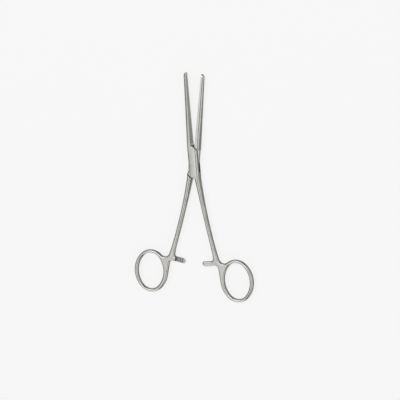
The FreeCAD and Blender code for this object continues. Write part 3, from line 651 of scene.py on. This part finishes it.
@dataclass
class Jaw:
    """The jaw of a half: round outside, with cross serrations on its gripping face."""

    # The nose's cross-sections, in degrees round its quarter oval
    NOSE_ANGLES = (0, 12, 24, 36, 48, 58, 66, 73, 78, 82)

    root_reach: float = 14.3
    root_lap: float = 0.1
    root_lip: float = 0.02
    middle_reach: float = 44.0
    length: float = 78.0
    nose_length: float = 2.6
    root_gap: float = 0.5
    tip_gap: float = 0.05
    serration_start: float = 17.0
    serration_end: float = 76.0
    serration_pitch: float = 1.0
    serration_depth: float = 0.45
    inner_bevel: float = 0.12
    # At the root, the middle and the nose
    depths: tuple[float, float, float] = (4.75, 4.0, 2.9)
    half_thicknesses: tuple[float, float, float] = (3.4, 2.45, 1.65)
    outer_rounds: tuple[float, float, float] = (2.2, 2.1, 1.4)
    arc_steps: int = 10
    grip_stations: int = 40
    grip_margin: float = 0.6
    # Faces turned towards the other jaw more than this take the lighter steel with painted light
    grip_facing: float = 0.8
    ridge_foot_share: float = 0.92
    ridge_root: float = 0.15
    crest_half: float = 0.05

    def sizes(self, reach: float) -> tuple[float, float, float]:
        """Give the jaw's depth, half thickness and outer round at a reach."""
        places = (self.root_reach, self.middle_reach, self.length - self.nose_length)
        rows = (self.depths, self.half_thicknesses, self.outer_rounds)
        depth, half, edge = [float(np.interp(reach, places, row)) for row in rows]
        return depth, half, edge

    def face_gap(self, reach: float) -> float:
        """Give how far the gripping face lies from the closing plane at a reach."""
        share = (reach - self.root_reach) / (self.length - self.root_reach)
        return self.root_gap + (self.tip_gap - self.root_gap) * share

    def section(self, reach: float, setback: float, shrink: float, lip: float) -> list[tuple]:
        """Give one cross-section's points.

        Args:
            reach: where it lies along the jaw.
            setback: how far its gripping face lies behind the serrations' crests.
            shrink: the share of its size that is left, less than 1 at the nose.
            lip: how much it is smaller all round, where it lies inside the lock.

        Returns:
            The points, once round, from the gripping face's upper edge.
        """
        sizes = self.sizes(min(reach, self.length - self.nose_length))
        depth, half, edge = [size * shrink for size in sizes]
        depth -= lip
        half -= lip
        share = (reach - self.root_reach) / (self.length - self.root_reach)
        face = -self.face_gap(reach) - setback * shrink
        bevel = self.inner_bevel * shrink
        room = depth + face - bevel
        across = min(edge + max(share, 0.0) * (room - edge), room)
        points = [(face, half - bevel), (face - bevel, half)]
        for part in range(self.arc_steps + 1):
            angle = math.pi / 2 * part / self.arc_steps
            x = -depth + across - across * math.sin(angle)
            points.append((x, half - edge + edge * math.cos(angle)))
        points += [(x, -z) for x, z in reversed(points)]
        return [(x, reach, z) for x, z in points]

    def body(self) -> bmesh.types.BMesh:
        """Make the jaw without its serrations, in millimetres."""
        lap_end = self.root_reach + 4 * self.root_lap
        first = self.serration_start
        last = self.serration_end
        step = self.serration_depth
        stations = [
            (self.root_reach - self.root_lap, 0.0, 1.0, self.root_lip),
            (self.root_reach + self.root_lap / 2, 0.0, 1.0, self.root_lip),
            (lap_end, 0.0, 1.0, 0.0),
            (first - step, 0.0, 1.0, 0.0),
        ]
        grip = np.linspace(first, last - self.grip_margin, self.grip_stations)
        stations += [(float(reach), step, 1.0, 0.0) for reach in grip]
        nose = self.length - self.nose_length
        for angle in map(math.radians, self.NOSE_ANGLES):
            reach = nose + self.nose_length * math.sin(angle)
            if reach >= last + step:
                stations.append((reach, 0.0, math.cos(angle), 0.0))
        stations.sort()
        rings = [self.section(*station) for station in stations]
        count = len(rings[0])
        points = [point for ring in rings for point in ring]
        faces = [tuple(range(count)), tuple(reversed(range(len(points) - count, len(points))))]
        for start in range(0, len(points) - count, count):
            for place in range(count):
                here, following = start + place, start + (place + 1) % count
                faces.append((here, here + count, following + count, following))
        shell = solid_of(points, faces)
        bmesh.ops.recalc_face_normals(shell, faces=shell.faces)
        for face in shell.faces:
            # The gripping face takes the second finish, the lighter steel with painted light
            face.material_index = int(face.normal.x > self.grip_facing)
        return shell

    def ridges(self, rows: "RidgeRows") -> list[bpy.types.Mesh]:
        """Make the serrations' ridges in two straight rows, which meet where the jaw's taper changes."""
        half = self.serration_pitch / 2
        foot = half * self.ridge_foot_share
        crest = self.serration_depth
        lower = [(-self.ridge_root, -foot), (0.0, -foot), (crest, -self.crest_half)]
        profile = lower + [(x, -y) for x, y in reversed(lower)]
        prism = prism_of([(x, y, 0.0) for x, y in profile], Vector((0.0, 0.0, 1.0)))
        meshes = []
        spans = (
            (self.serration_start + half, self.middle_reach - half),
            (self.middle_reach + half, self.serration_end - half),
        )
        for first, last in spans:
            ends = [Vector((-self.face_gap(reach) - crest, reach, 0.0)) for reach in (first, last)]
            scales = [(1.0, 1.0, 2 * self.sizes(reach)[1]) for reach in (first, last)]
            count = round((last - first) / self.serration_pitch) + 1
            meshes.append(rows.lay(prism, count, *ends, *scales))
        return meshes


def prism_of(profile: list[tuple], length: Vector) -> bpy.types.Mesh:
    """Make a prism of a flat profile, centred across its length."""
    count = len(profile)
    points = [Vector(point) + end * length / 2 for end in (-1, 1) for point in profile]
    faces = [tuple(range(count)), tuple(range(count, 2 * count))]
    for place in range(count):
        following = (place + 1) % count
        faces.append((place, following, count + following, count + place))
    shell = solid_of(points, faces)
    bmesh.ops.recalc_face_normals(shell, faces=shell.faces)
    mesh = bpy.data.meshes.new("ridge")
    shell.to_mesh(mesh)
    shell.free()
    return mesh


class RidgeRows:
    """Rows of equal ridges, laid along a straight line by Geometry Nodes."""

    INPUTS = (
        ("Count", "NodeSocketInt"),
        ("First Place", "NodeSocketVector"),
        ("Last Place", "NodeSocketVector"),
        ("First Scale", "NodeSocketVector"),
        ("Last Scale", "NodeSocketVector"),
        ("Finish", "NodeSocketMaterial"),
    )

    def __init__(self, finish: bpy.types.Material) -> None:
        self.finish = finish
        self.tree = self.plant()

    def plant(self) -> bpy.types.NodeTree:
        """Build the tree: a line of points, a ridge on each, and the finish."""
        tree = bpy.data.node_groups.new("ridge_row", "GeometryNodeTree")
        tree.interface.new_socket("Geometry", in_out="INPUT", socket_type="NodeSocketGeometry")
        tree.interface.new_socket("Geometry", in_out="OUTPUT", socket_type="NodeSocketGeometry")
        for name, kind in self.INPUTS:
            tree.interface.new_socket(name, in_out="INPUT", socket_type=kind)
        given = add_node(tree, "NodeGroupInput").outputs
        line = add_node(
            tree, "GeometryNodeMeshLine",
            {"Count": given["Count"], "Start Location": given["First Place"],
             "Offset": given["Last Place"]},
            mode="END_POINTS",
        )
        number = add_node(tree, "GeometryNodeInputIndex")
        steps = add_node(tree, "ShaderNodeMath", {0: given["Count"], 1: 1.0}, operation="SUBTRACT")
        share = add_node(
            tree, "ShaderNodeMath", {0: number.outputs[0], 1: steps.outputs[0]}, operation="DIVIDE"
        )
        scale = add_node(
            tree, "ShaderNodeMix",
            {0: share.outputs[0], 4: given["First Scale"], 5: given["Last Scale"]},
            data_type="VECTOR",
        )
        copies = add_node(
            tree, "GeometryNodeInstanceOnPoints",
            {"Points": line.outputs[0], "Instance": given["Geometry"], "Scale": scale.outputs[1]},
        )
        real = add_node(tree, "GeometryNodeRealizeInstances", {"Geometry": copies.outputs[0]})
        dressed = add_node(
            tree, "GeometryNodeSetMaterial", {"Geometry": real.outputs[0], "Material": given["Finish"]}
        )
        add_node(tree, "NodeGroupOutput", {"Geometry": dressed.outputs[0]})
        return tree

    def lay(self, ridge: bpy.types.Mesh, count: int, *values: Any) -> bpy.types.Mesh:
        """Lay a row.

        Args:
            ridge: the mesh of one ridge.
            count: how many there are.
            values: the first and last place, and the first and last scale.

        Returns:
            The row as a plain mesh.
        """
        holder = bpy.data.objects.new("ridge_row", ridge)
        bpy.context.scene.collection.objects.link(holder)
        modifier = holder.modifiers.new("row", "NODES")
        modifier.node_group = self.tree
        named = dict(zip([name for name, _ in self.INPUTS], (count, *values, self.finish)))
        for item in self.tree.interface.items_tree:
            if item.in_out == "INPUT" and item.name in named:
                value = named[item.name]
                modifier[item.identifier] = tuple(value) if isinstance(value, Vector) else value
        holder.update_tag()
        evaluated = holder.evaluated_get(bpy.context.evaluated_depsgraph_get())
        row = bpy.data.meshes.new_from_object(evaluated)
        bpy.data.objects.remove(holder)
        return row


@dataclass
class RatchetTeeth:
    """The teeth under the ratchet arm, with one steep and one sloping side each."""

    count: int = 3
    pitch: float = 2.2
    height: float = 0.75
    crest: float = 0.55
    face: float = 0.12
    root: float = 0.3
    first_reach: float = 2.42
    arm_reach: float = 89.1
    width: float = 4.3

    def build(self, rows: RidgeRows) -> bpy.types.Mesh:
        """Make the row of teeth, in millimetres."""
        top = self.face + self.height
        root = top + self.root
        profile = [
            (-self.pitch, root), (-self.pitch, top), (-self.crest, self.face),
            (0.0, self.face), (0.0, root),
        ]
        tooth = prism_of([(x, 0.0, z) for x, z in profile], Vector((0.0, self.width, 0.0)))
        ends = []
        for number in (1, self.count):
            x = self.first_reach + number * self.pitch
            ends.append(Vector((x, -math.sqrt(self.arm_reach ** 2 - (x - self.pitch / 2) ** 2), 0.0)))
        whole = (1.0, 1.0, 1.0)
        return rows.lay(tooth, self.count, *ends, whole, whole)


@dataclass
class Lock:
    """The middle of a half: the slotted box, or the tongue between its two roots."""

    side: Side
    reach: float = 14.28
    half_width: float = 4.75
    half_thickness: float = 3.4
    slot_half: float = 1.2
    crown: float = 0.35
    crown_reach: float = 13.6
    cut_step: float = 0.8
    flat_degrees: float = 0.5

    def build(self) -> bmesh.types.BMesh:
        """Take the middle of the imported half, and crown the box's ground faces, in millimetres."""
        shell = bmesh.new()
        shell.from_mesh(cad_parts[self.side.node].data)
        shell.transform(self.side.placement().inverted())
        bmesh.ops.remove_doubles(shell, verts=shell.verts, dist=SAME_CORNER)
        for end in (1.0, -1.0):
            self.slice_at(shell, Vector((0.0, end * self.reach, 0.0)), Vector((0.0, end, 0.0)), True)
        rim = [edge for edge in shell.edges if edge.is_boundary]
        bmesh.ops.holes_fill(shell, edges=rim)
        bmesh.ops.dissolve_limit(
            shell, angle_limit=math.radians(self.flat_degrees), verts=shell.verts, edges=shell.edges
        )
        if self.side is Side.TONGUE:
            return shell
        for place in np.arange(-self.reach + self.cut_step, self.reach, self.cut_step):
            self.slice_at(shell, Vector((0.0, place, 0.0)), Vector((0.0, 1.0, 0.0)), False)
        for place in np.arange(-self.half_width + self.cut_step, self.half_width, self.cut_step):
            self.slice_at(shell, Vector((place, 0.0, 0.0)), Vector((1.0, 0.0, 0.0)), False)
        for point in shell.verts:
            across = min(abs(point.co.x) / self.half_width, 1.0) ** 2
            along = max(0.0, 1.0 - (point.co.y / self.crown_reach) ** 2)
            outer = max(0.0, abs(point.co.z) - self.slot_half) / (self.half_thickness - self.slot_half)
            point.co.z -= math.copysign(self.crown * across * along * outer, point.co.z)
        return shell

    @staticmethod
    def slice_at(shell: bmesh.types.BMesh, place: Vector, way: Vector, clear: bool) -> None:
        """Cut the mesh along a plane, and clear what lies beyond it where asked."""
        geometry = list(shell.verts) + list(shell.edges) + list(shell.faces)
        bmesh.ops.bisect_plane(
            shell, geom=geometry, plane_co=place, plane_no=way, dist=SAME_CORNER, clear_outer=clear
        )


@dataclass
class ForcepsHalf:
    """One forged half of the forceps, made of its lock, jaw and handle."""

    side: Side
    sharp_degrees: float = 32.0

    def build(
        self, steels: list[bpy.types.Material], handle: bpy.types.Mesh, jaw: Jaw, rows: RidgeRows
    ) -> bpy.types.Object:
        """Make the half's skin in its place and dress it.

        Args:
            steels: its finish, and a lighter copy with painted light for its gripping face and ridges.
            handle: the handle's mesh, which both halves share.
            jaw: the jaw's sizes.
            rows: the maker of serrations and teeth.

        Returns:
            The finished piece.
        """
        name = f"{self.side.node}_skin"
        mesh = bpy.data.meshes.new(name)
        for steel in steels:
            mesh.materials.append(steel)
        shell = Lock(self.side).build()
        body = bpy.data.meshes.new("jaw")
        jaw_shell = jaw.body()
        jaw_shell.to_mesh(body)
        jaw_shell.free()
        ridges = jaw.ridges(rows)
        for part in ridges:
            # The ridges take the lighter steel with painted light too
            part.polygons.foreach_set("material_index", [1] * len(part.polygons))
        for part in (handle, body, *ridges, RatchetTeeth().build(rows)):
            shell.from_mesh(part)
        shell.transform(self.side.placement())
        shell.to_mesh(mesh)
        shell.free()
        mesh.shade_smooth()
        mesh.set_sharp_from_angle(angle=math.radians(self.sharp_degrees))
        piece = bpy.data.objects.new(name, mesh)
        bpy.context.scene.collection.objects.link(piece)
        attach(piece, self.side.body)
        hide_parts(self.side.node)
        return piece


@dataclass(frozen=True)
class Lamp:
    """A square soft lamp that faces the forceps, with its place and size in metres."""

    name: str
    place: tuple[float, float, float]
    size: float
    watts: float

    def build(self) -> None:
        """Put the lamp in its place."""
        lamp = bpy.data.lights.new(self.name, "AREA")
        lamp.size = self.size
        lamp.energy = self.watts
        holder = bpy.data.objects.new(self.name, lamp)
        place = Vector(self.place)
        turn = (-place).to_track_quat("-Z", "Y").to_matrix().to_4x4()
        holder.matrix_world = Matrix.Translation(place) @ turn
        bpy.context.scene.collection.objects.link(holder)


@dataclass
class Studio:
    """The pale floor, the soft lights, and the camera at the photo's angle."""

    yaw: float = math.radians(27.0)
    rise: float = math.radians(13.4)
    distance: float = 6.0
    frame_width: float = 0.342
    pivot_pixel: tuple[float, float] = (194.1, 161.8)
    frame_pixels: float = 400.0
    sensor_mm: float = 36.0
    sight_end: float = 20.0
    floor_size: float = 6.0
    lamps: tuple[Lamp, ...] = (
        Lamp("key_lamp", (-0.8, 0.9, 1.4), 1.0, 2.6),
        Lamp("top_lamp", (0.15, 0.5, 1.5), 0.55, 2.0),
    )
    # How bright the surroundings are from the left horizon, over the top, to the right horizon
    sky: tuple[tuple[float, float], ...] = (
        (0.0, 0.12), (0.1, 0.3), (0.24, 0.75), (0.36, 1.15), (0.5, 1.05),
        (0.57, 0.05), (0.69, 0.05), (0.76, 1.1), (0.88, 1.1), (1.0, 0.8),
    )
    sky_strength: float = 0.9
    # Where the surroundings begin and end to darken beyond the jaw tips, and the share left there
    far_shade: tuple[float, float, float] = (0.5, 0.9, 0.3)

    def view_axes(self) -> tuple[Vector, Vector, Vector]:
        """Give the picture's right and up, and the direction to the camera."""
        out = Vector((
            math.sin(self.yaw) * math.cos(self.rise),
            math.sin(self.rise),
            math.cos(self.yaw) * math.cos(self.rise),
        ))
        right = Vector((math.cos(self.yaw), 0.0, -math.sin(self.yaw)))
        return right, out.cross(right), out

    def add_camera(self) -> None:
        """Put the camera where the pivot falls on its place in the picture."""
        right, up, out = self.view_axes()
        low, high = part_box("pivot_pin")
        pivot = (Vector(low) + Vector(high)) / 2
        pixel = self.frame_width / self.frame_pixels
        centre = self.frame_pixels / 2
        target = pivot + right * (centre - self.pivot_pixel[0]) * pixel
        target -= up * (centre - self.pivot_pixel[1]) * pixel
        camera = bpy.data.cameras.new("camera")
        camera.sensor_width = self.sensor_mm
        camera.lens = self.sensor_mm * self.distance / self.frame_width
        camera.clip_end = self.sight_end
        holder = bpy.data.objects.new("camera", camera)
        turn = Matrix((right, up, out)).transposed()
        holder.matrix_world = Matrix.Translation(target + out * self.distance) @ turn.to_4x4()
        bpy.context.scene.collection.objects.link(holder)
        bpy.context.scene.camera = holder

    def add_floor(self) -> None:
        """Lay the pale floor that the forceps lies on."""
        mesh = bpy.data.meshes.new("floor")
        half = self.floor_size / 2
        corners = [(-half, -half, 0.0), (half, -half, 0.0), (half, half, 0.0), (-half, half, 0.0)]
        mesh.from_pydata(corners, [], [(0, 1, 2, 3)])
        mesh.materials.append(PalePaper().build())
        floor = bpy.data.objects.new("floor", mesh)
        bpy.context.scene.collection.objects.link(floor)

    def add_world(self) -> None:
        """Surround the forceps with two broad pale screens, left and right, and a dark gap between."""
        world = bpy.data.worlds.new("world")
        bpy.context.scene.world = world
        world.use_nodes = True
        tree = world.node_tree
        tree.nodes.clear()
        way = add_node(tree, "ShaderNodeTexCoord")
        parts = add_node(tree, "ShaderNodeSeparateXYZ", {"Vector": way.outputs["Generated"]})
        place = add_node(tree, "ShaderNodeMapRange", {"Value": parts.outputs["X"], "From Min": -1.0})
        screens = add_node(tree, "ShaderNodeValToRGB", {"Fac": place.outputs[0]})
        ramp = screens.color_ramp
        ramp.interpolation = "EASE"
        for index, (position, level) in enumerate(self.sky):
            element = ramp.elements[index] if index < 2 else ramp.elements.new(position)
            element.position = position
            element.color = (level, level, level, 1.0)
        near, far, left_over = self.far_shade
        shade = add_node(
            tree, "ShaderNodeMapRange",
            {"Value": parts.outputs["Y"], "From Min": near, "From Max": far,
             "To Min": self.sky_strength, "To Max": self.sky_strength * left_over},
        )
        sky = add_node(
            tree, "ShaderNodeBackground", {"Color": screens.outputs[0], "Strength": shade.outputs[0]}
        )
        add_node(tree, "ShaderNodeOutputWorld", {"Surface": sky.outputs[0]})

    def build(self) -> None:
        """Set up the whole studio."""
        self.add_floor()
        self.add_world()
        for lamp in self.lamps:
            lamp.build()
        self.add_camera()


def main() -> None:
    """Build each piece in order and report it."""
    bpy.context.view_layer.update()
    bpy.context.scene.view_settings.view_transform = "Standard"
    steel = SatinSteel().build()
    cut_steel_painted_light = CUT_STEEL_PAINTED_LIGHT.build()
    rows = RidgeRows(steel)
    handle = bpy.data.meshes.new("handle")
    handle_shell = Handle().build()
    handle_shell.to_mesh(handle)
    handle_shell.free()
    for side in Side:
        piece = ForcepsHalf(side).build([steel, cut_steel_painted_light], handle, Jaw(), rows)
        log.info("%s: %d faces", piece.name, len(piece.data.polygons))
    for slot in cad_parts["pivot_pin"].material_slots:
        slot.material = steel
    Studio().build()


if __name__ == "__main__":
    logging.basicConfig(level=logging.INFO)
    main()
